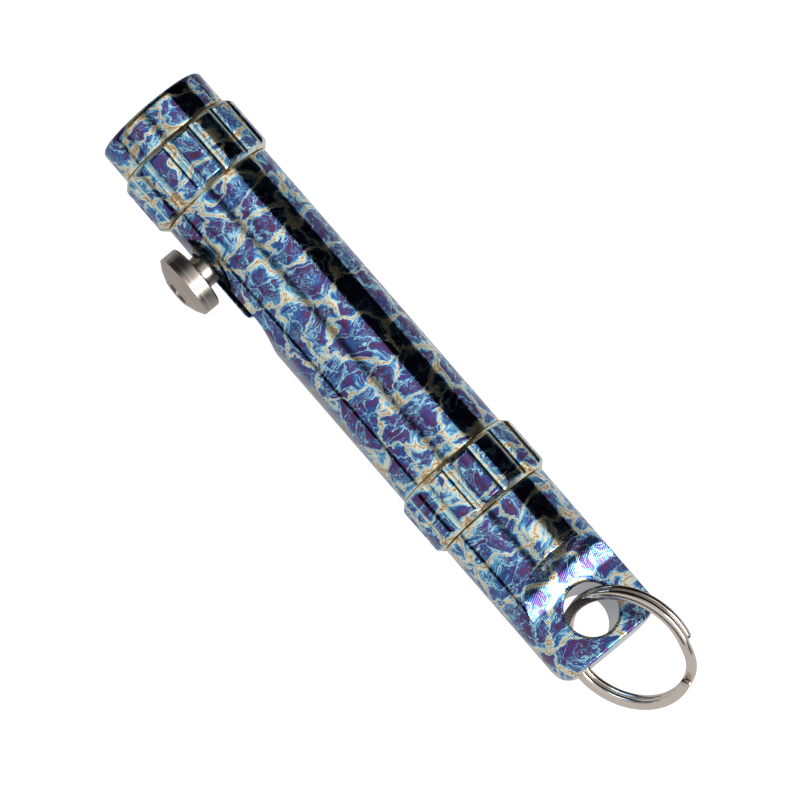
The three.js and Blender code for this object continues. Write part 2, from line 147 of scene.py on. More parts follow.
def flamed_titanium(name, milled=False):
    material, tree, output = new_material(name)
    place = add(tree, "ShaderNodeTexCoord").outputs["Object"]
    # In millimetres, and squeezed along the light, because most layers run round it.
    squeezed = add(tree, "ShaderNodeMapping", {"Vector": place, "Scale": (1150, 880, 880)})
    warped = squeezed.outputs[0]
    for scale, reach in [(0.22, 2.4), (0.7, 0.95), (2.2, 0.42), (6.0, 0.13)]:
        noise = add(tree, "ShaderNodeTexNoise", {
            "Vector": warped, "Scale": scale, "Detail": 1.0, "Roughness": 0.5})
        centred = add(tree, "ShaderNodeVectorMath", {
            0: noise.outputs["Color"], 1: (0.5, 0.5, 0.5)}, operation="SUBTRACT")
        warped = add(tree, "ShaderNodeVectorMath", {
            0: centred.outputs[0], 1: (2 * reach,) * 3, 2: warped},
            operation="MULTIPLY_ADD").outputs[0]

    def veins(scale, widest, seed_shift, deepest):
        """The deepest tint in the middle of a vein, and 1 more at the reach of its colours."""
        shifted = add(tree, "ShaderNodeVectorMath", {
            0: warped, 1: (seed_shift,) * 3}, operation="ADD")
        edge = add(tree, "ShaderNodeTexVoronoi", {
            "Vector": shifted.outputs[0], "Scale": scale}, feature="DISTANCE_TO_EDGE")
        width = add(tree, "ShaderNodeTexNoise", {
            "Vector": shifted.outputs[0], "Scale": 0.4, "Detail": 1.0})
        width = add(tree, "ShaderNodeMapRange", {
            "Value": width.outputs[0], "From Min": 0.38, "From Max": 0.62,
            "To Min": 0.3 * widest * scale, "To Max": widest * scale})
        across = add(tree, "ShaderNodeMath", {
            0: edge.outputs["Distance"], 1: width.outputs[0]}, operation="DIVIDE")
        return add(tree, "ShaderNodeMath", {
            0: across.outputs[0], 1: deepest}, operation="ADD").outputs[0]

    def layers(scale, count, seed_shift, deepest):
        """Fine contour lines: the deepest tint in the middle of each."""
        shifted = add(tree, "ShaderNodeVectorMath", {
            0: warped, 1: (seed_shift,) * 3}, operation="ADD")
        noise = add(tree, "ShaderNodeTexNoise", {
            "Vector": shifted.outputs[0], "Scale": scale, "Detail": 1.0, "Roughness": 0.45})
        phase = add(tree, "ShaderNodeMath", {0: noise.outputs[0], 1: count}, operation="MULTIPLY")
        saw = add(tree, "ShaderNodeMath", {0: phase.outputs[0], 1: 0.5}, operation="PINGPONG")
        fade = add(tree, "ShaderNodeTexNoise", {
            "Vector": shifted.outputs[0], "Scale": 0.5, "Detail": 1.0})
        fade = add(tree, "ShaderNodeMapRange", {
            "Value": fade.outputs[0], "From Min": 0.4, "From Max": 0.65,
            "To Min": deepest, "To Max": deepest + 0.5})
        return add(tree, "ShaderNodeMath", {
            0: saw.outputs[0], 1: 2.1, 2: fade.outputs[0]}, operation="MULTIPLY_ADD").outputs[0]

    ground = add(tree, "ShaderNodeTexNoise", {
        "Vector": squeezed.outputs[0], "Scale": 0.3, "Detail": 2.0})
    field = add(tree, "ShaderNodeMapRange", {
        "Value": ground.outputs[0], "From Min": 0.36, "From Max": 0.6,
        "To Min": 0.52, "To Max": 1.0}).outputs[0]
    for shape, blend in [(layers(0.5, 16.0, 0.0, 0.2), 0.08), (layers(0.33, 14.0, 17.3, 0.25), 0.08),
                         (veins(0.19, 1.45, 0.0, 0.0), 0.06), (veins(0.33, 0.6, 31.7, 0.2), 0.06)]:
        field = add(tree, "ShaderNodeMath", {
            0: field, 1: shape, 2: blend}, operation="SMOOTH_MIN").outputs[0]
    # Edges and flutes are painted nearer to cream, as a painted highlight.
    painted_highlight = add(tree, "ShaderNodeAttribute", attribute_name="painted_highlight")
    kept = add(tree, "ShaderNodeMath", {
        0: painted_highlight.outputs["Fac"], 1: -0.8, 2: 1.0}, operation="MULTIPLY_ADD")
    field = add(tree, "ShaderNodeMath", {
        0: field, 1: kept.outputs[0]}, operation="MULTIPLY").outputs[0]
    tint = add(tree, "ShaderNodeValToRGB", {"Fac": field})
    colour_stops(tint, [
        (0.00, "#a08262"), (0.03, "#c7a97f"), (0.09, "#ece0bd"), (0.18, "#e9eee2"),
        (0.25, "#afdeeb"), (0.35, "#64acd6"), (0.46, "#3f76b2"), (0.56, "#40508f"),
        (0.66, "#5a4284"), (0.78, "#68436d"), (1.00, "#5c3c51")])
    dull = add(tree, "ShaderNodeMapRange", {
        "Value": field, "From Min": 0.1, "From Max": 0.4, "To Min": 0.2, "To Max": 0.06})
    surface = add(tree, "ShaderNodeBsdfPrincipled", {
        "Base Color": tint.outputs[0], "Metallic": 1.0, "Roughness": dull.outputs[0]})
    if milled:
        # Fine grooves that the milling cutter left along the light, a fifth of a millimetre apart.
        turned_flat = add(tree, "ShaderNodeMapping", {
            "Vector": place, "Rotation": (math.radians(LUG_ROLL), 0, 0), "Scale": (1000,) * 3})
        grooves = add(tree, "ShaderNodeTexWave", {
            "Vector": turned_flat.outputs[0], "Scale": 1.57, "Distortion": 0.5},
            bands_direction="Y")
        bump = add(tree, "ShaderNodeBump", {
            "Height": grooves.outputs["Fac"], "Strength": 0.5, "Distance": 0.00002})
        tree.links.new(bump.outputs[0], surface.inputs["Normal"])
    tree.links.new(surface.outputs[0], output.inputs["Surface"])
    return material


def mark_painted_highlight(piece, edges, level):
    """Stores the painted highlight at each point, how much paler it is painted: by its distance from
    the edges, given as stations, and by level, a function of its station, roll and height."""
    places = np.empty(len(piece.data.vertices) * 3)
    piece.data.vertices.foreach_get("co", places)
    places = places.reshape(-1, 3) / MM - np.array([lit_end, axis_y, axis_z]) / MM
    height = np.hypot(places[:, 1], places[:, 2])
    roll = np.degrees(np.arctan2(-places[:, 1], places[:, 2]))
    painted_highlight = level(places[:, 0], roll, height)
    for edge in edges:
        painted_highlight = np.maximum(painted_highlight, np.clip(1 - np.abs(places[:, 0] - edge) / EDGE_FADE, 0, 1))
    stored = piece.data.attributes.new("painted_highlight", "FLOAT", "POINT")
    stored.data.foreach_set("value", painted_highlight)


flamed = flamed_titanium("flamed_titanium")


def round_corners(corners, closed):
    """Rounds a profile of (station, height, rounding) corners, and returns its stretches as
    (start, end, normal at start, normal at end), with the outside on the left."""
    points = [np.array(c[:2], float) for c in corners]
    count = len(points)
    stretches = []
    ends = []
    for i in range(count):
        here = points[i]
        rounding = corners[i][2] if len(corners[i]) > 2 else 0.0
        inner = closed or 0 < i < count - 1
        if not inner or rounding == 0:
            ends.append((here, here, []))
            continue
        before = here - points[i - 1]
        after = points[(i + 1) % count] - here
        before_long, after_long = np.linalg.norm(before), np.linalg.norm(after)
        before, after = before / before_long, after / after_long
        bend = math.atan2(before[0] * after[1] - before[1] * after[0], float(before @ after))
        reach = min(rounding * abs(math.tan(bend / 2)), 0.48 * before_long, 0.48 * after_long)
        rounding = reach / abs(math.tan(bend / 2))
        steps = max(2, math.ceil(abs(bend) / math.radians(11)))
        side = math.copysign(1.0, bend)
        start = here - before * reach
        centre = start + side * rounding * np.array([-before[1], before[0]])
        arc = []
        for k in range(steps + 1):
            turned_by = bend * k / steps
            spoke = -side * np.array([-before[1], before[0]])
            cos, sin = math.cos(turned_by), math.sin(turned_by)
            spoke = np.array([cos * spoke[0] - sin * spoke[1], sin * spoke[0] + cos * spoke[1]])
            arc.append((centre + rounding * spoke, -side * spoke))
        ends.append((start, arc[-1][0], arc))
    for i in range(count):
        arc = ends[i][2]
        for (p, n), (q, m) in zip(arc, arc[1:]):
            stretches.append((p, q, n, m))
        if i == count - 1 and not closed:
            break
        p, q = ends[i][1], ends[(i + 1) % count][0]
        run = (q - p) / np.linalg.norm(q - p)
        normal = np.array([-run[1], run[0]])
        stretches.append((p, q, normal, normal))
    return stretches


def mesh_piece(name, points, faces, normals=None):
    """A mesh object from row-frame points, with the true normal of each face corner."""
    mesh = bpy.data.meshes.new(name)
    mesh.from_pydata([tuple(p) for p in points], [], faces)
    mesh.validate()
    mesh.shade_smooth()
    if normals is not None:
        mesh.normals_split_custom_set([tuple(n) for n in normals])
    piece = bpy.data.objects.new(name, mesh)
    bpy.context.scene.collection.objects.link(piece)
    return piece


def turned(name, corners, closed=True, segments=240, lie=None):
    """A piece turned on the light's axis, or on the axis that lie, a 4x4 matrix, puts it on."""
    stretches = round_corners(corners, closed)
    rolls = 2 * np.pi * np.arange(segments) / segments
    spokes = np.stack([-np.sin(rolls), np.cos(rolls)], axis=-1)
    rings, points, faces, normals = [], [], [], []
    count = 0
    for station, height in [s[0] for s in stretches] + ([] if closed else [stretches[-1][1]]):
        if height < 1e-6:
            points.append([[station, 0, 0]])
            rings.append([count] * segments)
            count += 1
        else:
            points.append(np.column_stack([np.full(segments, station), spokes * height]))
            rings.append(list(range(count, count + segments)))
            count += segments
    if closed:
        rings.append(rings[0])
    for j, (_, _, normal_here, normal_next) in enumerate(stretches):
        here, following = rings[j], rings[j + 1]
        for i in range(segments):
            k = (i + 1) % segments
            corner = [(here[i], i, normal_here), (here[k], k, normal_here),
                      (following[k], k, normal_next), (following[i], i, normal_next)]
            kept = [c for n, c in enumerate(corner) if c[0] != corner[n - 1][0]]
            faces.append([c[0] for c in kept])
            for _, spoke, normal in kept:
                normals.append([normal[0], *(spokes[spoke] * normal[1])])
    points = np.concatenate(points)
    normals = np.array(normals)
    if lie is None:
        points = points * MM + np.array([lit_end, axis_y, axis_z])
    else:
        turned_to = np.array(lie.to_3x3())
        points = (points * MM) @ turned_to.T + np.array(lie.translation)
        normals = normals @ turned_to.T
    return mesh_piece(name, points, faces, normals)


def finish_piece(piece, body, slot, material, *nodes):
    """Gives a piece its material and its body, and hides the CAD nodes it stands for. Its slot is not used.
    """
    piece.data.materials.clear()
    piece.data.materials.append(material)
    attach(piece, body)
    if nodes:
        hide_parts(*nodes)
    return piece


BEZEL_END = 4.4
bezel = turned("bezel", [
    (0.0, 5.6, 0.05), (0.0, TUBE_RADIUS, 1.25),
    (BEZEL_END - 0.55, TUBE_RADIUS), (BEZEL_END, TUBE_RADIUS, 0.08),
    (BEZEL_END, 6.05, 0.05), (0.85, 6.05, 0.03), (0.85, 5.0, 0.05), (0.6, 5.0, 0.05)])
# A painted highlight, paler towards cream, along the bezel's back edge.
mark_painted_highlight(bezel, [BEZEL_END], lambda station, roll, height: 0 * station)
finish_piece(bezel, "body", "flamed_titanium", flamed, "bezel_ring")

# ------------------------------------------------------------------ fluted collars
# Two grip collars, turned and then fluted with a small round cutter: fourteen shallow flutes
# each, which fade out in the end chamfers. The front one is the head itself.
COLLAR_RADIUS = 7.8
COLLAR_CHAMFER = 0.65
FLUTE_COUNT = 14
FLUTE_ROLL = 13.9
FLUTE_DEPTH = 0.35
FLUTE_WIDTH = 1.45
half_width = FLUTE_WIDTH / 2
sagitta = FLUTE_DEPTH - (COLLAR_RADIUS - math.sqrt(COLLAR_RADIUS ** 2 - half_width ** 2))
FLUTE_CUTTER = (half_width ** 2 + sagitta ** 2) / (2 * sagitta)
FLUTE_CENTRE = COLLAR_RADIUS - FLUTE_DEPTH + FLUTE_CUTTER


def soft_least(a, b, blend):
    """The smaller of a and b, with a rounded changeover of about that size."""
    mix = np.clip(0.5 + 0.5 * (b - a) / blend, 0, 1)
    return b + (a - b) * mix - blend * mix * (1 - mix)


def fluted_height(height, angle):
    """Height of the surface at an angle from a flute's centre, where the collar is that high."""
    across = FLUTE_CENTRE * np.sin(angle)
    inside = np.maximum(FLUTE_CUTTER ** 2 - across ** 2, 0)
    flute = np.where(np.abs(across) < FLUTE_CUTTER,
                     FLUTE_CENTRE * np.cos(angle) - np.sqrt(inside), height + 1)
    return soft_least(height, flute, 0.035)


def flute_edge(height):
    """The angle from a flute's centre to its edge, where the collar is that high."""
    cos = (height ** 2 + FLUTE_CENTRE ** 2 - FLUTE_CUTTER ** 2) / (2 * height * FLUTE_CENTRE)
    return max(math.acos(min(cos, 1.0)), 0.02)


def collar(name, start, end, inner_corners, segments_in_flute=9, segments_on_land=5):
    outer = round_corners([
        (start, 6.6), (start, COLLAR_RADIUS - COLLAR_CHAMFER, 0.12),
        (start + COLLAR_CHAMFER, COLLAR_RADIUS, 0.35), (end - COLLAR_CHAMFER, COLLAR_RADIUS, 0.35),
        (end, COLLAR_RADIUS - COLLAR_CHAMFER, 0.12), (end, 6.6)], closed=False)
    profile = [s[0] for s in outer] + [outer[-1][1]]
    fine = []
    for p, q in zip(profile, profile[1:]):
        long = np.linalg.norm(q - p)
        steps = 1 if long < 0.12 else max(3, min(10, int(long / 0.12)))
        # Long stretches are cut finely near their ends, so that their shading stays true.
        for k in range(steps):
            t = k / steps
            fine.append(p + (q - p) * (t * t * (3 - 2 * t)))
    fine.append(profile[-1])
    edge_marks = np.array([0.03, 0.09, 0.2])
    pitch = 2 * math.pi / FLUTE_COUNT
    rings, points = [], []
    for station, height in fine:
        edge = flute_edge(height)
        marks = edge_marks / height
        inside = np.linspace(0, edge - marks[-1], segments_in_flute)
        inside = inside if edge > 2 * marks[-1] else np.linspace(0, edge * 0.5, segments_in_flute)
        close = edge - marks[-2::-1] if edge > 2 * marks[-1] else edge * np.array([0.7, 0.85])
        land = np.linspace(edge + marks[-1], pitch / 2, segments_on_land)
        half = np.concatenate([inside, close, [edge], edge + marks[:2], land])
        angles = np.concatenate([-half[:0:-1], half[:-1]])
        heights = fluted_height(height, angles)
        all_angles = np.concatenate([angles + pitch * k for k in range(FLUTE_COUNT)])
        points.append(at(station, FLUTE_ROLL + np.degrees(all_angles),
                         np.tile(heights, FLUTE_COUNT)))
    around = len(points[0])
    for station, height, *_ in inner_corners:
        points.append(at(station, FLUTE_ROLL + np.degrees(all_angles), height))
    rings = len(points)
    faces = []
    for j in range(rings):
        a, b = j * around, ((j + 1) % rings) * around
        for i in range(around):
            k = (i + 1) % around
            faces.append((a + i, a + k, b + k, b + i))
    piece = mesh_piece(name, np.concatenate(points), faces)
    piece.data.set_sharp_from_angle(angle=math.radians(40))
    return piece




def in_flute(station, roll, height):
    """1 at the bottom of a flute, and 0 on the land: where the flutes get their painted highlight."""
    return np.clip((COLLAR_RADIUS - 0.05 - height) / (FLUTE_DEPTH - 0.05), 0, 1) * 0.75


FRONT_COLLAR = (4.5, 11.55)
REAR_COLLAR = (52.05, 59.0)
SOCKET_RADIUS = 6.42
front_collar = collar("head_collar", *FRONT_COLLAR, [
    (FRONT_COLLAR[1], SOCKET_RADIUS), (8.9, SOCKET_RADIUS), (8.9, 5.15), (2.95, 5.15),
    (2.95, 5.9), (FRONT_COLLAR[0], 5.9)])
# A painted highlight, paler towards cream, along the collar's end edges and in its flutes.
mark_painted_highlight(front_collar, FRONT_COLLAR, in_flute)
finish_piece(front_collar, "body", "flamed_titanium", flamed, "front_collar")
rear_collar = collar("tail_collar", *REAR_COLLAR, [
    (REAR_COLLAR[1], SOCKET_RADIUS), (REAR_COLLAR[0], SOCKET_RADIUS)])
# A painted highlight, paler towards cream, along the collar's end edges and in its flutes.
mark_painted_highlight(rear_collar, REAR_COLLAR, in_flute)
finish_piece(rear_collar, "body", "flamed_titanium", flamed, "rear_collar")

# ------------------------------------------------------------------ barrel
# The main tube, turned and bored. The bolt's guide slot is milled through its wall: a straight
# leg, then a turn into a side notch where the bolt is parked. Its rim is lightly broken.
KNOB_ROLL = 114.6
BARREL = (11.65, 51.95)
BORE_RADIUS = 5.4
SPIGOT_RADIUS = 6.3
SLOT_WIDTH = 4.5
STEM_STATION = 17.55
SLOT_TURN = 25.75
NOTCH_START = 24.75
NOTCH_REACH = 4.9
TONGUE_ROUND = 1.0
SLOT_BREAK = 0.13


def arc_points(centre, radius, start, stop, steps):
    """Points of an arc, with angles in degrees."""
    angles = np.radians(np.linspace(start, stop, steps + 1))
    return [(centre[0] + radius * math.cos(a), centre[1] + radius * math.sin(a)) for a in angles]


def slot_outline():
    """The slot's outline as (station, distance round the tube), running anticlockwise."""
    half = SLOT_WIDTH / 2
    notch_end = SLOT_TURN + SLOT_WIDTH
    notch_half = (notch_end - NOTCH_START) / 2
    tongue = (NOTCH_START - TONGUE_ROUND, half + TONGUE_ROUND)
    return [
        *arc_points((STEM_STATION, 0), half, 90, 270, 40),
        *arc_points((SLOT_TURN, half), SLOT_WIDTH, -90, 0, 36),
        *arc_points((notch_end - notch_half, NOTCH_REACH), notch_half, 0, 180, 40),
        *arc_points(tongue, TONGUE_ROUND, 0, -90, 14),
    ]


def evenly(points, spacing):
    """Adds points along the long sides of a closed outline."""
    out = []
    for p, q in zip(points, points[1:] + points[:1]):
        long = math.dist(p, q)
        steps = max(1, math.ceil(long / spacing))
        if long > 1e-6:
            out += [(p[0] + (q[0] - p[0]) * k / steps, p[1] + (q[1] - p[1]) * k / steps)
                    for k in range(steps)]
    return np.array(out)


def slot_cutter():
    outline = evenly(slot_outline(), 0.25)
    run = np.roll(outline, -1, axis=0) - np.roll(outline, 1, axis=0)
    run /= np.linalg.norm(run, axis=1)[:, None]
    outward = np.column_stack([run[:, 1], -run[:, 0]])
    half = SLOT_WIDTH / 2
    points = []
    for height, grown in [(4.6, 0), (TUBE_RADIUS - SLOT_BREAK, 0), (TUBE_RADIUS + 0.3, SLOT_BREAK + 0.3),
                          (9.5, SLOT_BREAK + 0.3)]:
        moved = outline + outward * grown
        straight = np.clip(moved[:, 1], -half - grown, half)
        wrapped = moved[:, 1] - straight
        roll = np.degrees(np.arcsin(straight / height) + wrapped / TUBE_RADIUS)
        points.append(at(moved[:, 0], KNOB_ROLL + roll, height))
    around = len(outline)
    faces = []
    for j in range(len(points) - 1):
        for i in range(around):
            k = (i + 1) % around
            faces.append((j * around + i, j * around + k, (j + 1) * around + k, (j + 1) * around + i))
    last = (len(points) - 1) * around
    faces.append(tuple(range(around))[::-1])
    faces.append(tuple(last + i for i in range(around)))
    cutter = mesh_piece("slot_cutter", np.concatenate(points), faces)
    clean_up(cutter)
    return cutter


def clean_up(piece):
    """Merges doubles, splits faces into triangles where they bend, and turns faces outwards."""
    shape = bmesh.new()
    shape.from_mesh(piece.data)
    bmesh.ops.remove_doubles(shape, verts=shape.verts, dist=1e-7)
    bmesh.ops.triangulate(shape, faces=[f for f in shape.faces if len(f.verts) > 4])
    bmesh.ops.recalc_face_normals(shape, faces=shape.faces)
    shape.to_mesh(piece.data)
    shape.free()


def cut_away(piece, *cutters):
    """Cuts the cutters out of a piece and removes them."""
    for cutter in cutters:
        difference = piece.modifiers.new("cut", "BOOLEAN")
        difference.operation = "DIFFERENCE"
        difference.solver = "EXACT"
        difference.object = cutter
    mesh = bpy.data.meshes.new_from_object(piece.evaluated_get(bpy.context.evaluated_depsgraph_get()))
    piece.modifiers.clear()
    piece.data = mesh
    for cutter in cutters:
        bpy.data.objects.remove(cutter)


def true_tube_normals(piece, height, sharp=30):
    """Gives the corners on the tube's outside the tube's own normals, so its mirror stays clean."""
    mesh = piece.data
    mesh.shade_smooth()
    mesh.set_sharp_from_angle(angle=math.radians(sharp))
    count = len(mesh.loops)
    corner_normals = np.empty(count * 3)
    mesh.corner_normals.foreach_get("vector", corner_normals)
    corner_normals = corner_normals.reshape(-1, 3)
    vertex = np.empty(count, int)
    mesh.loops.foreach_get("vertex_index", vertex)
    places = np.empty(len(mesh.vertices) * 3)
    mesh.vertices.foreach_get("co", places)
    spokes = (places.reshape(-1, 3) - [0, axis_y, axis_z])[vertex] * [0, 1, 1]
    long = np.linalg.norm(spokes, axis=1)
    spokes /= np.maximum(long, 1e-9)[:, None]
    on_tube = (np.abs(long / MM - height) < 0.004) & ((spokes * corner_normals).sum(axis=1) > 0.98)
    corner_normals[on_tube] = spokes[on_tube]
    mesh.normals_split_custom_set(corner_normals)


barrel = turned("barrel_tube", [
    (9.1, BORE_RADIUS, 0.05), (9.1, SPIGOT_RADIUS, 0.15), (BARREL[0], SPIGOT_RADIUS, 0.02),
    (BARREL[0], TUBE_RADIUS, 0.1), (BARREL[0] + 0.6, TUBE_RADIUS), (BARREL[1] - 0.6, TUBE_RADIUS),
    (BARREL[1], TUBE_RADIUS, 0.1), (BARREL[1], SPIGOT_RADIUS, 0.02),
    (55.5, SPIGOT_RADIUS, 0.1), (55.5, BORE_RADIUS, 0.05)])
cut_away(barrel, slot_cutter())
true_tube_normals(barrel, TUBE_RADIUS)
# A painted highlight, paler towards cream, along both ends of the barrel.
mark_painted_highlight(barrel, BARREL, lambda station, roll, height: 0 * station)
finish_piece(barrel, "body", "flamed_titanium", flamed, "barrel")

# ------------------------------------------------------------------ tail cap
# Turned from the same bar, then milled: two round-ended scoops leave a flat lug, and a cross
# hole takes the key ring. The scoops and flats keep the fine lines of the cutter.
LUG_HALF = 3.1
SCOOP_RADIUS = 5.5
FLAT_START = 72.6
CAP_START = 59.1
CAP_END = 79.5
END_ROUND = 2.2
LUG_BREAK = 0.28
CAP_FLOOR = 65.4
HOLE_STATION = 74.8
HOLE_RADIUS = 3.15
HOLE_BREAK = 0.3
SCOOP_START = FLAT_START - math.sqrt(SCOOP_RADIUS ** 2 - (LUG_HALF + SCOOP_RADIUS - TUBE_RADIUS) ** 2)


def cap_height(station):
    """The turned outside of the cap."""
    past = max(0.0, station - (CAP_END - END_ROUND))
    return TUBE_RADIUS - END_ROUND + math.sqrt(max(0.0, END_ROUND ** 2 - past ** 2))


def lug_half(station):
    """Half the lug's thickness: the scoop, the flat and the broken end edge."""
    before = max(0.0, FLAT_START - station)
    if before >= SCOOP_RADIUS:
        return LUG_HALF + SCOOP_RADIUS
    past = max(0.0, station - (CAP_END - LUG_BREAK))
    fall = LUG_BREAK - math.sqrt(max(0.0, LUG_BREAK ** 2 - past ** 2))
    return LUG_HALF + SCOOP_RADIUS - math.sqrt(SCOOP_RADIUS ** 2 - before ** 2) - fall


def tail_cap_body():
    stations = [CAP_START, CAP_START + 0.03, CAP_START + 0.08, CAP_START + 0.3]
    stations += list(np.linspace(60, SCOOP_START - 0.25, 8))
    stations += [SCOOP_START - 0.1, SCOOP_START - 0.02]
    stations += [SCOOP_START + (FLAT_START - SCOOP_START) * (k / 44) ** 1.8 for k in range(1, 45)]
    stations += [FLAT_START + 0.6, 74.0, 75.5, 76.6]
    round_start = CAP_END - END_ROUND
    stations += [round_start + END_ROUND * math.sin(math.pi / 2 * k / 22) for k in range(22)]
    stations += [CAP_END - LUG_BREAK + LUG_BREAK * math.sin(math.pi / 2 * k / 6) for k in range(7)]
    stations = sorted(set(round(s, 5) for s in stations))
    in_cheek, on_side = 16, 22
    marks = np.array([0.02, 0.06, 0.13, 0.25])
    points = []
    for station in stations:
        height = cap_height(station)
        if station < CAP_START + 0.08:
            height -= 0.08 - math.sqrt(0.08 ** 2 - (CAP_START + 0.08 - station) ** 2)
        half = lug_half(station)
        if half < height - 0.002:
            edge = math.acos(half / height)
            spread = min(1.0, edge * height / 0.8)
            inside = np.linspace(0, edge - marks[-1] * spread / height, in_cheek)
            near = np.concatenate([-marks[-2::-1], [0], marks[:-1]]) * spread / height + edge
            side = np.linspace(edge + marks[-1] * spread / height, math.pi / 2, on_side)
            quarter = np.concatenate([inside, near, side])
        else:
            quarter = np.linspace(0, math.pi / 2, in_cheek + on_side + 2 * len(marks) - 1)
        straight = half / np.maximum(np.cos(quarter), 1e-6)
        heights = soft_least(height, straight, 0.05)
        angles = np.concatenate([quarter, math.pi - quarter[-2::-1]])
        heights = np.concatenate([heights, heights[-2::-1]])
        angles = np.concatenate([angles, 2 * math.pi - angles[-2:0:-1]])
        heights = np.concatenate([heights, heights[-2:0:-1]])
        points.append(at(station, LUG_ROLL + np.degrees(angles), heights))
    around = len(points[0])
    even = np.linspace(0, math.pi / 2, in_cheek + on_side + 2 * len(marks) - 1)
    first_rolls = LUG_ROLL + np.degrees(np.concatenate([even, math.pi - even[-2::-1]]))
    first_rolls = np.concatenate([first_rolls, 2 * LUG_ROLL + 360 - first_rolls[-2:0:-1]])
    # The bore and the spigot are behind the cap's front face.
    inner = [at(s, first_rolls, h) for s, h in [
        (CAP_FLOOR, BORE_RADIUS), (56.05, BORE_RADIUS), (56.0, BORE_RADIUS + 0.05), (56.0, 6.05),
        (56.15, 6.2), (57.25, 6.2), (57.25, 5.9), (57.85, 5.9), (57.85, 6.2), (CAP_START, 6.2)]]
    tip = at(CAP_END, 0, 0)
    end_rings = [tip + (points[-1] - tip) * s for s in (0.96, 0.8, 0.5)]
    rings = inner + points + end_rings
    faces = []
    for j in range(len(rings) - 1):
        a, b = j * around, (j + 1) * around
        for i in range(around):
            k = (i + 1) % around
            faces.append((a + i, a + k, b + k, b + i))
    all_points = np.concatenate(rings + [[at(CAP_FLOOR, 0, 0)], [at(CAP_END, 0, 0)]])
    floor_middle, end_middle = len(all_points) - 2, len(all_points) - 1
    last = (len(rings) - 1) * around
    for i in range(around):
        k = (i + 1) % around
        faces.append((floor_middle, k, i))
        faces.append((last + i, last + k, end_middle))
    return mesh_piece("tail_cap_body", all_points, faces)


def upright_on(station, roll):
    """A matrix that stands the x axis of a turned piece up from the light's axis."""
    up = Vector(at(0, roll, 1) - at(0, 0, 0)).normalized()
    ahead = Vector((1, 0, 0))
    sideways = up.cross(ahead)
    lie = Matrix((up, ahead, sideways)).transposed().to_4x4()
    lie.translation = Vector(at(station, 0, 0))
    return lie


def hole_cutter():
    mouth = LUG_HALF - HOLE_BREAK
    over = 1.0
    return turned("hole_cutter", [
        (-LUG_HALF - over, 0), (-LUG_HALF - over, HOLE_RADIUS + HOLE_BREAK + over),
        (-mouth, HOLE_RADIUS, 0.06), (mouth, HOLE_RADIUS, 0.06),
        (LUG_HALF + over, HOLE_RADIUS + HOLE_BREAK + over), (LUG_HALF + over, 0)],
        closed=False, segments=160, lie=upright_on(HOLE_STATION, LUG_ROLL))


tail_cap = tail_cap_body()
clean_up(tail_cap)
cut_away(tail_cap, hole_cutter())
tail_cap.data.shade_smooth()
tail_cap.data.set_sharp_from_angle(angle=math.radians(32))


def bare_titanium():
    """The hole's wall: bare metal with the fine rings of the drill."""
    material, tree, output = new_material("bored_titanium")
    place = add(tree, "ShaderNodeTexCoord").outputs["Object"]
    rings = add(tree, "ShaderNodeTexWave", {
        "Vector": add(tree, "ShaderNodeMapping", {
            "Vector": place, "Rotation": (math.radians(-LUG_ROLL), 0, 0),
            "Scale": (1000, 1000, 1000)}).outputs[0],
        "Scale": 0.9, "Distortion": 2.5, "Detail": 2.0}, bands_direction="Z")
    tint = add(tree, "ShaderNodeValToRGB", {"Fac": rings.outputs["Fac"]})
    colour_stops(tint, [(0.0, "#8f9098"), (1.0, "#d6d7dc")])
    surface = add(tree, "ShaderNodeBsdfPrincipled", {
        "Base Color": tint.outputs[0], "Metallic": 1.0, "Roughness": 0.25})
    tree.links.new(surface.outputs[0], output.inputs["Surface"])
    return material


# A painted highlight, paler towards cream, along the cap's front edge.
mark_painted_highlight(tail_cap, [CAP_START], lambda station, roll, height: 0 * station)
finish_piece(tail_cap, "cap", "flamed_titanium", flamed, "tail_cap")
tail_cap.data.materials.append(flamed_titanium("milled_titanium", milled=True))
tail_cap.data.materials.append(bare_titanium())
lug_up = Vector(at(0, LUG_ROLL, 1) - at(0, 0, 0)).normalized()
hole_middle = Vector(at(HOLE_STATION, 0, 0))
for face in tail_cap.data.polygons:
    from_hole = Vector(face.center) - hole_middle
    height = abs(from_hole.dot(lug_up)) / MM
    off_axis = (from_hole - lug_up * from_hole.dot(lug_up)).length / MM
    spoke = Vector((0, face.center[1] - axis_y, face.center[2] - axis_z))
    station = (face.center[0] - lit_end) / MM
    if off_axis < HOLE_RADIUS + 0.02 and height < LUG_HALF:
        face.material_index = 2
    elif station > SCOOP_START and abs(height - lug_half(station)) < 0.05 and spoke.length / MM < 6.97:
        face.material_index = 1

# ------------------------------------------------------------------ bolt knob and stem
# The bolt's handle, turned from plain titanium: a stem through the slot, and a knob with a
# low domed face and a socket for a 3 mm key.
KNOB_RADIUS = 3.95
KNOB_UNDERSIDE = 8.07
KNOB_RIM = 10.1
KNOB_TOP = 11.1
STEM_RADIUS = 1.95
SOCKET_FLATS = 3.0
SOCKET_DEPTH = 1.5


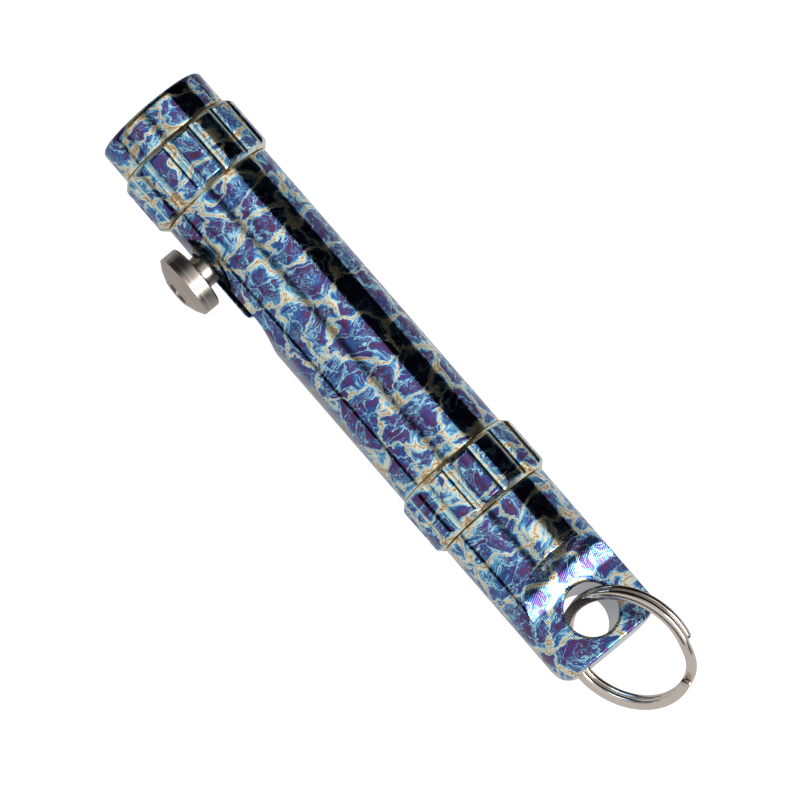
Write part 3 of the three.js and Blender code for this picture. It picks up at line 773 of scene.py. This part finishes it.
def turned_titanium():
    material, tree, output = new_material("turned_titanium")
    place = add(tree, "ShaderNodeTexCoord").outputs["Object"]
    foot = Vector(at(STEM_STATION, KNOB_ROLL, 0))
    up = (Vector(at(STEM_STATION, KNOB_ROLL, 1)) - foot).normalized()
    from_foot = add(tree, "ShaderNodeVectorMath", {0: place, 1: foot}, operation="SUBTRACT")
    rise = add(tree, "ShaderNodeVectorMath", {
        0: from_foot.outputs[0], 1: up}, operation="DOT_PRODUCT").outputs["Value"]
    along = add(tree, "ShaderNodeVectorMath", {0: up}, operation="SCALE")
    tree.links.new(rise, along.inputs["Scale"])
    spoke = add(tree, "ShaderNodeVectorMath", {
        0: from_foot.outputs[0], 1: along.outputs[0]}, operation="SUBTRACT")
    reach = add(tree, "ShaderNodeVectorMath", {0: spoke.outputs[0]}, operation="LENGTH")
    # The tool left fine rings, so the marks depend on nothing but height and radius.
    ringed = add(tree, "ShaderNodeCombineXYZ", {"X": rise, "Y": reach.outputs["Value"]})
    marks = add(tree, "ShaderNodeTexNoise", {
        "Vector": ringed.outputs[0], "Scale": 9000.0, "Detail": 3.0, "Roughness": 0.6})
    tint = add(tree, "ShaderNodeValToRGB", {"Fac": marks.outputs[0]})
    colour_stops(tint, [(0.3, "#a3988f"), (0.7, "#c2b8af")])
    rough = add(tree, "ShaderNodeMapRange", {
        "Value": marks.outputs[0], "From Min": 0.3, "From Max": 0.7, "To Min": 0.2, "To Max": 0.34})
    bump = add(tree, "ShaderNodeBump", {
        "Height": marks.outputs[0], "Strength": 0.6, "Distance": 0.000012})
    surface = add(tree, "ShaderNodeBsdfPrincipled", {
        "Base Color": tint.outputs[0], "Metallic": 1.0, "Roughness": rough.outputs[0],
        "Normal": bump.outputs[0]})
    tree.links.new(surface.outputs[0], output.inputs["Surface"])
    return material


plain = turned_titanium()
bolt_lie = upright_on(STEM_STATION, KNOB_ROLL)
knob = turned("knob", [
    (9.1, 0), (9.1, 1.28), (KNOB_UNDERSIDE, 1.28), (KNOB_UNDERSIDE, KNOB_RADIUS, 0.28),
    (KNOB_RIM, KNOB_RADIUS, 0.12), (10.62, 3.1, 2.0), (KNOB_TOP - 0.06, 1.95, 0.2),
    (KNOB_TOP, 1.78, 0.05), (KNOB_TOP - 0.12, 1.66, 0.03), (KNOB_TOP - 0.12, 0)],
    closed=False, segments=192, lie=bolt_lie)


def hex_cutter():
    corner = SOCKET_FLATS / math.sqrt(3)
    return turned("hex_cutter", [
        (KNOB_TOP - SOCKET_DEPTH - 0.5, 0), (KNOB_TOP - SOCKET_DEPTH, corner),
        (KNOB_TOP + 0.5, corner), (KNOB_TOP + 0.5, 0)], closed=False, segments=6, lie=bolt_lie)


cut_away(knob, hex_cutter())
knob.data.shade_smooth()
knob.data.set_sharp_from_angle(angle=math.radians(25))
finish_piece(knob, "bolt", "turned_titanium", plain, "bolt_knob")

stem = turned("stem", [
    (2.45, 0), (2.45, 1.45), (5.5, 1.45), (5.5, STEM_RADIUS, 0.05),
    (KNOB_UNDERSIDE - 0.32, STEM_RADIUS, 0.03), (KNOB_UNDERSIDE - 0.32, STEM_RADIUS - 0.12, 0.02),
    (KNOB_UNDERSIDE - 0.02, STEM_RADIUS - 0.12), (KNOB_UNDERSIDE - 0.02, 1.2),
    (8.9, 1.2), (8.9, 0)],
    closed=False, segments=128, lie=bolt_lie)
finish_piece(stem, "bolt", "turned_titanium", plain, "bolt_stem")

# ------------------------------------------------------------------ split key ring
# Spring wire of a flat section, wound twice round and nickel plated. Both ends stop at the
# kink where one turn climbs onto the other.
RING_RADIUS = 7.5
WIRE_HIGH = 1.2
WIRE_WIDE = 0.8
TURN_GAP = 0.05
RING_CENTRE = (80.51, 1.29, 0.32)
RING_NORMAL = Vector((0.23, -0.943, 0.242)).normalized()
RING_ENDS = Vector((0.469, 0.432, 0.769))


def nickel_plate():
    material, tree, output = new_material("nickel_plate")
    surface = add(tree, "ShaderNodeBsdfPrincipled", {
        "Base Color": linear("#d8cdc3"), "Metallic": 1.0, "Roughness": 0.08})
    tree.links.new(surface.outputs[0], output.inputs["Surface"])
    return material


def split_ring():
    sideways = RING_NORMAL.cross(RING_ENDS).normalized()
    ahead = sideways.cross(RING_NORMAL)
    kink = math.radians(40)
    wrap = 4 * math.pi - kink - 0.06
    climb = WIRE_WIDE + TURN_GAP
    steps = 420
    corner = 0.3
    section = []
    for cx, cy, start in [(1, 1, 0), (-1, 1, 90), (-1, -1, 180), (1, -1, 270)]:
        middle = (cx * (WIRE_HIGH / 2 - corner), cy * (WIRE_WIDE / 2 - corner))
        section += arc_points(middle, corner, start, start + 90, 5)
    section = np.array(section)
    turns = np.linspace(0, wrap, steps + 1)
    points = []
    for n, angle in enumerate(turns):
        t = min(max((angle - (2 * math.pi - kink)) / kink, 0), 1)
        lift = climb * (t * t * (3 - 2 * t) - 0.5)
        slim = 1.0 if 0 < n < steps else 0.86
        across = RING_RADIUS + section[:, 0] * slim
        spoke = np.array(ahead * math.cos(angle) + sideways * math.sin(angle))
        ring = spoke[None] * across[:, None] + np.array(RING_NORMAL)[None] * (
            section[:, 1] * slim + lift)[:, None]
        points.append(ring)
    points = np.concatenate(points) + np.array(RING_CENTRE)
    points = points * MM + np.array([lit_end, axis_y, axis_z])
    around = len(section)
    faces = []
    for j in range(steps):
        a, b = j * around, (j + 1) * around
        for i in range(around):
            k = (i + 1) % around
            faces.append((a + i, a + k, b + k, b + i))
    faces.append(tuple(range(around))[::-1])
    faces.append(tuple(steps * around + i for i in range(around)))
    piece = mesh_piece("key_ring_wire", points, faces)
    clean_up(piece)
    piece.data.shade_smooth()
    piece.data.set_sharp_from_angle(angle=math.radians(50))
    return piece


nickel = nickel_plate()
finish_piece(split_ring(), "key_ring", "nickel_ring", nickel, "split_ring")

# ------------------------------------------------------------------ lens, reflector and seals
# A flat glass lens, a smooth plated bowl behind it, and black rubber rings that seal the joints.


def inner_material(name, low, high, grain, metallic, roughness):
    """A finish that varies a little between two colours, with a grain in millimetres."""
    material, tree, output = new_material(name)
    place = add(tree, "ShaderNodeTexCoord").outputs["Object"]
    noise = add(tree, "ShaderNodeTexNoise", {
        "Vector": place, "Scale": 1000.0 / grain, "Detail": 3.0})
    tint = add(tree, "ShaderNodeValToRGB", {"Fac": noise.outputs[0]})
    colour_stops(tint, [(0.35, low), (0.65, high)])
    rough = add(tree, "ShaderNodeMapRange", {
        "Value": noise.outputs[0], "To Min": roughness * 0.8, "To Max": roughness * 1.2})
    surface = add(tree, "ShaderNodeBsdfPrincipled", {
        "Base Color": tint.outputs[0], "Metallic": metallic, "Roughness": rough.outputs[0]})
    tree.links.new(surface.outputs[0], output.inputs["Surface"])
    return material


def coated_glass():
    material, tree, output = new_material("coated_glass")
    surface = add(tree, "ShaderNodeBsdfPrincipled", {
        "Base Color": linear("#f2f6fb"), "Roughness": 0.0, "IOR": 1.5,
        "Transmission Weight": 1.0})
    tree.links.new(surface.outputs[0], output.inputs["Surface"])
    return material


def o_ring(name, station, ring_radius, section, node, body="body"):
    around = [(station + section * math.sin(a), ring_radius + section * math.cos(a))
              for a in np.linspace(0, 2 * math.pi, 24, endpoint=False)]
    piece = turned(name, around, segments=160)
    piece.data.normals_split_custom_set([(0, 0, 0)] * len(piece.data.loops))
    return finish_piece(piece, body, "rubber", rubber, node)


lens = turned("lens_glass", [(0.95, 0), (0.95, 5.75, 0.08), (2.25, 5.75, 0.08), (2.25, 0)],
              closed=False)
finish_piece(lens, "body", "lens_glass", coated_glass(), "lens")
BOWL = (2.95, 7.3, 4.6, 1.9)
bowl = []
for step in range(33):
    radius = BOWL[2] + (BOWL[3] - BOWL[2]) * step / 32
    depth = (BOWL[2] ** 2 - radius ** 2) / (BOWL[2] ** 2 - BOWL[3] ** 2)
    bowl.append((BOWL[0] + (BOWL[1] - BOWL[0]) * depth, radius))
reflector = turned("reflector_bowl", [
    *bowl[::-1], (BOWL[0], 5.0, 0.05), (BOWL[0] + 0.8, 5.0, 0.05), (BOWL[1], 2.7, 0.1)])
finish_piece(reflector, "body", "reflector_mirror", inner_material(
    "reflector_mirror", "#e2e3e6", "#efeff2", 3.0, 1.0, 0.05), "reflector")
rubber = inner_material("black_rubber", "#101010", "#1b1b1b", 0.4, 0.0, 0.6)
o_ring("lens_seal", 2.58, 5.42, 0.24, "lens_o_ring")
o_ring("head_seal", 10.25, 6.14, 0.24, "head_o_ring")
o_ring("tail_seal", 57.55, 6.13, 0.19, "tail_o_ring", "cap_lead")

# ------------------------------------------------------------------ springs
# Cone springs of steel wire: the long one drives the bolt back, and the short one holds the
# cell against it. Both are wound from round wire, with their ends left square.
WIRE_RADIUS = 0.22


def cone_spring_tree():
    """A coil of round wire on a cone about the X axis, with closed ends, in metres."""
    tree = bpy.data.node_groups.new("cone_spring", "GeometryNodeTree")
    tree.is_modifier = True
    tree.interface.new_socket("Geometry", in_out="OUTPUT", socket_type="NodeSocketGeometry")
    for name in ("Start radius", "End radius", "Length", "Turns", "Wire radius"):
        tree.interface.new_socket(name, in_out="INPUT", socket_type="NodeSocketFloat")
    tree.interface.new_socket("Start", in_out="INPUT", socket_type="NodeSocketVector")
    tree.interface.new_socket("Material", in_out="INPUT", socket_type="NodeSocketMaterial")
    sizes = add(tree, "NodeGroupInput").outputs
    coil = add(tree, "GeometryNodeCurveSpiral", {
        "Resolution": 72, "Rotations": sizes["Turns"], "Start Radius": sizes["Start radius"],
        "End Radius": sizes["End radius"], "Height": sizes["Length"]})
    wire = add(tree, "GeometryNodeCurvePrimitiveCircle", {
        "Resolution": 12, "Radius": sizes["Wire radius"]})
    swept = add(tree, "GeometryNodeCurveToMesh", {
        "Curve": coil.outputs[0], "Profile Curve": wire.outputs[0], "Fill Caps": True})
    # The spiral rises along Z, and the spring lies along X.
    laid = add(tree, "GeometryNodeTransform", {
        "Geometry": swept.outputs[0], "Translation": sizes["Start"],
        "Rotation": (0, math.radians(90), 0)})
    whole = add(tree, "GeometryNodeRealizeInstances", {"Geometry": laid.outputs[0]})
    finished = add(tree, "GeometryNodeSetMaterial", {
        "Geometry": whole.outputs[0], "Material": sizes["Material"]})
    add(tree, "NodeGroupOutput", {"Geometry": finished.outputs[0]})
    return tree


def cone_spring(name, start, end, start_radius, end_radius, turns):
    """Runs the tree with one spring's sizes, and keeps its result as a plain mesh."""
    maker = bpy.data.objects.new(name + "_maker", bpy.data.meshes.new(name + "_maker"))
    bpy.context.scene.collection.objects.link(maker)
    modifier = maker.modifiers.new("spring", "NODES")
    modifier.node_group = spring_tree
    sizes = {
        "Start radius": start_radius * MM, "End radius": end_radius * MM,
        "Length": (end - start) * MM, "Turns": float(turns), "Wire radius": WIRE_RADIUS * MM,
        "Start": tuple(at(start, 0, 0)), "Material": spring_steel}
    for item in spring_tree.interface.items_tree:
        if item.in_out == "INPUT":
            modifier[item.identifier] = sizes[item.name]
    evaluated = maker.evaluated_get(bpy.context.evaluated_depsgraph_get())
    mesh = bpy.data.meshes.new_from_object(evaluated)
    maker.modifiers.remove(modifier)
    bpy.data.objects.remove(maker)
    mesh.name = name
    piece = bpy.data.objects.new(name, mesh)
    bpy.context.scene.collection.objects.link(piece)
    clean_up(piece)
    piece.data.shade_smooth()
    piece.data.set_sharp_from_angle(angle=math.radians(50))
    return piece


spring_tree = cone_spring_tree()
spring_steel = inner_material("spring_steel", "#a9abae", "#c3c5c8", 0.5, 1.0, 0.25)
bolt_spring = cone_spring("bolt_spring_wire", 22.0, 32.8, 4.6, 1.7, 5)
finish_piece(bolt_spring, "body", "steel", spring_steel, "bolt_spring")
tuple(at(33.02, 0, 0))
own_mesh(bolt_spring)
tail_spring = cone_spring("tail_spring_wire", 61.95, 64.75, 1.8, 4.7, 4)
finish_piece(tail_spring, "cap", "steel", spring_steel, "tail_spring")

# ------------------------------------------------------------------ carriage and cell
# A black plastic slider carries the bolt and its contact pin, and pushes on the cell, a small
# lithium cell in a plain blue sleeve.
black_plastic = inner_material("black_plastic", "#161617", "#202022", 0.3, 0.0, 0.45)
carriage = turned("carriage_slider", [
    (13.75, 1.3, 0.05), (13.75, 5.25, 0.3), (21.4, 5.25, 0.3), (21.4, 1.3, 0.05)])
cut_away(carriage, turned("stem_hole", [
    (2.2, 0), (2.2, 1.55), (6.5, 1.55), (6.5, 0)], closed=False, segments=64, lie=bolt_lie))
carriage.data.shade_smooth()
carriage.data.set_sharp_from_angle(angle=math.radians(35))
finish_piece(carriage, "bolt", "black_plastic", black_plastic, "bolt_carriage")
cell_can = turned("cell_steel_can", [
    (33.95, 0), (33.95, 4.8, 0.45), (61.5, 4.8, 0.4), (61.5, 0)], closed=False)
finish_piece(cell_can, "body", "steel", spring_steel, "cell_can")
cell_sleeve = turned("cell_sleeve", [
    (34.1, 4.9, 0.05), (34.1, 5.1, 0.08), (61.2, 5.1, 0.08), (61.2, 4.9, 0.05)])
finish_piece(cell_sleeve, "body", "cell_wrap", inner_material(
    "cell_sleeve", "#34567f", "#42688f", 4.0, 0.0, 0.35), "cell_wrap")

# ------------------------------------------------------------------ light engine and small contacts
# The pieces inside keep the CAD's own shapes: emitter, gasket, copper board, brass holder, driver
# board and its parts, wires, contact pin and cell ends. Each gets the finish of its material.
copper = inner_material("bare_copper", "#a85f38", "#bf7548", 0.8, 1.0, 0.35)
brass = inner_material("turned_brass", "#b89243", "#d0ac5c", 0.6, 1.0, 0.28)
white_plastic = inner_material("white_plastic", "#e2e0d8", "#ecebe5", 0.5, 0.0, 0.5)
phosphor = inner_material("phosphor", "#ecc52f", "#f6dc5a", 0.15, 0.0, 0.55)
driver_green = inner_material("driver_green", "#1b5231", "#256a40", 0.5, 0.0, 0.4)
for finish, nodes in [
        (phosphor, ["led_emitter", "driver_capacitor_a", "driver_capacitor_b"]),
        (white_plastic, ["led_gasket", "cell_insulator"]), (copper, ["led_board"]),
        (brass, ["engine_pill", "driver_contact", "contact_pin", "tail_contact_disc"]),
        (driver_green, ["driver_board"]), (black_plastic, ["driver_chip", "led_wire_negative"]),
        (rubber, ["led_wire_positive"]), (spring_steel, ["cell_positive_cap"])]:
    for node in nodes:
        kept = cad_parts[node]
        kept.material_slots[0].link = "OBJECT"
        kept.material_slots[0].material = finish

# ------------------------------------------------------------------ studio
# A white table and a white tent round it, with a dark flag and a dark strip that give the polished tube its
# black bands.


def plain_material(name, colour, strength=0.0, roughness=0.8):
    material, tree, output = new_material(name)
    surface = add(tree, "ShaderNodeBsdfPrincipled", {
        "Base Color": linear(colour), "Roughness": roughness,
        "Emission Color": linear("#ffffff"), "Emission Strength": strength})
    tree.links.new(surface.outputs[0], output.inputs["Surface"])
    return material


def card(name, centre, size, toward, material):
    """A flat square-cornered card that faces a point."""
    back = (Vector(toward) - Vector(centre)).normalized()
    flat = back.to_track_quat("Z", "X").to_matrix()
    corners = [Vector(centre) + flat @ Vector((x * size[0] / 2, y * size[1] / 2, 0))
               for x, y in [(-1, -1), (1, -1), (1, 1), (-1, 1)]]
    piece = mesh_piece(name, [tuple(c) for c in corners], [(0, 1, 2, 3)])
    piece.data.materials.append(material)
    return piece


def table_material():
    """White to the camera, and a little greyer to the polished metal."""
    material, tree, output = new_material("table_white")
    seen = add(tree, "ShaderNodeLightPath").outputs["Is Camera Ray"]
    place = add(tree, "ShaderNodeSeparateXYZ", {
        "Vector": add(tree, "ShaderNodeTexCoord").outputs["Object"]})
    mirrored = add(tree, "ShaderNodeMapRange", {
        "Value": place.outputs["X"], "From Min": -0.056, "From Max": -0.044,
        "To Min": 0.0, "To Max": 0.45})
    strength = add(tree, "ShaderNodeMix", {
        "Factor": seen, "A": mirrored.outputs[0], "B": 0.97}, data_type="FLOAT")
    surface = add(tree, "ShaderNodeBsdfPrincipled", {
        "Base Color": linear("#6e6e6e"), "Roughness": 0.9,
        "Emission Color": linear("#ffffff"), "Emission Strength": strength.outputs[0]})
    tree.links.new(surface.outputs[0], output.inputs["Surface"])
    return material


card("table", (0, 0, 0), (6, 6), (0, 0, 1), table_material())


def grey_stops(ramp, low, high, full, stops):
    """Sets a ramp to (place, level) stops, with places between low and high, and full as white."""
    while len(ramp.color_ramp.elements) < len(stops):
        ramp.color_ramp.elements.new(1.0)
    for element, (stop, level) in zip(ramp.color_ramp.elements, stops):
        element.position = (stop - low) / (high - low)
        element.color = (level / full, level / full, level / full, 1.0)


PANEL_LEVEL = 9.0


def tent():
    """A tent that is white to the camera. What the metal reflects of it changes in brightness
    with a direction's roll about the light, and along the light."""
    roll_full, ends_full = 2.5, 1.4
    world = bpy.data.worlds.new("tent")
    bpy.context.scene.world = world
    world.use_nodes = True
    tree = world.node_tree
    tree.nodes.clear()
    output = add(tree, "ShaderNodeOutputWorld")
    aimed = add(tree, "ShaderNodeSeparateXYZ", {
        "Vector": add(tree, "ShaderNodeTexCoord").outputs["Generated"]})
    sideways = add(tree, "ShaderNodeMath", {0: aimed.outputs["Y"], 1: -1.0}, operation="MULTIPLY")
    roll = add(tree, "ShaderNodeMath", {0: sideways.outputs[0], 1: aimed.outputs["Z"]},
               operation="ARCTAN2")
    share = add(tree, "ShaderNodeMapRange", {
        "Value": roll.outputs[0], "From Min": math.radians(-100), "From Max": math.radians(100)})
    bright = add(tree, "ShaderNodeValToRGB", {"Fac": share.outputs[0]})
    grey_stops(bright, -100, 100, roll_full, [
        (-95, 0.62), (-70, 0.55), (-14, 0.9), (-4, 1.3), (10, 1.25), (19, 0.72), (28, 0.9),
        (34, 0.85), (39, 0.2), (45, 0.16), (51, 0.9), (58, 1.4), (72, 1.0), (95, 0.85)])
    # Along the light it darkens to both ends.
    along = add(tree, "ShaderNodeMapRange", {"Value": aimed.outputs["X"], "From Min": -1.0})
    ends = add(tree, "ShaderNodeValToRGB", {"Fac": along.outputs[0]})
    grey_stops(ends, -1, 1, ends_full, [
        (-0.64, 0.03), (-0.46, 0.3), (-0.26, 0.75), (-0.14, 1.0), (0.1, 1.0), (0.3, 1.3),
        (0.74, 1.3), (0.95, 0.15)])
    ends = add(tree, "ShaderNodeMath", {0: ends.outputs[0], 1: ends_full}, operation="MULTIPLY")
    level = add(tree, "ShaderNodeMath", {0: bright.outputs[0], 1: roll_full}, operation="MULTIPLY")
    level = add(tree, "ShaderNodeMath", {
        0: level.outputs[0], 1: ends.outputs[0]}, operation="MULTIPLY")
    # One bright panel hangs overhead, towards the tail.
    panel_along = add(tree, "ShaderNodeValToRGB", {"Fac": along.outputs[0]})
    grey_stops(panel_along, -1, 1, 1, [(0.2, 0), (0.3, 1), (0.74, 1), (0.86, 0)])
    panel_across = add(tree, "ShaderNodeValToRGB", {"Fac": share.outputs[0]})
    grey_stops(panel_across, -100, 100, 1, [(-34, 0), (-26, 1), (12, 1), (22, 0)])
    panel = add(tree, "ShaderNodeMath", {
        0: panel_along.outputs[0], 1: panel_across.outputs[0]}, operation="MULTIPLY")
    level = add(tree, "ShaderNodeMath", {
        0: panel.outputs[0], 1: PANEL_LEVEL, 2: level.outputs[0]}, operation="MULTIPLY_ADD")
    seen = add(tree, "ShaderNodeLightPath").outputs["Is Camera Ray"]
    strength = add(tree, "ShaderNodeMix", {
        "Factor": seen, "A": level.outputs[0], "B": 1.0}, data_type="FLOAT")
    background = add(tree, "ShaderNodeBackground", {"Strength": strength.outputs[0]})
    tree.links.new(background.outputs[0], output.inputs["Surface"])


tent()
bpy.context.scene.view_settings.view_transform = "Standard"

flag_black = plain_material("flag_black", "#060606", 0.0, 0.9)


def flag(name, low_roll, high_roll, distance, length):
    """A long dark card beside the light that fills the rolls between two limits."""
    middle = (low_roll + high_roll) / 2
    centre = Vector(at(40, middle, distance / MM))
    width = 2 * distance * math.tan(math.radians((high_roll - low_roll) / 2))
    up = (Vector(at(40, middle, 0)) - centre).normalized()
    side = up.cross(Vector((1, 0, 0)))
    corners = [centre + Vector((1, 0, 0)) * x * length / 2 + side * y * width / 2
               for x, y in [(-1, -1), (1, -1), (1, 1), (-1, 1)]]
    piece = mesh_piece(name, [tuple(c) for c in corners], [(0, 1, 2, 3)])
    piece.data.materials.append(flag_black)
    piece.visible_camera = False
    piece.visible_shadow = False


flag("dark_flag", -64, -15.5, 0.6, 3.0)

# A thin dark strip lies on the table beside the light, and gives it its fine dark line.
STRIP_Y = (-0.0300, -0.0228)
strip = mesh_piece("dark_strip", [
    (x, axis_y + STRIP_Y[k], 0.0002) for x, k in [(-0.2, 0), (0.2, 0), (0.2, 1), (-0.2, 1)]],
    [(0, 1, 2, 3)])
strip.data.materials.append(flag_black)
strip.visible_camera = False
strip.visible_shadow = False
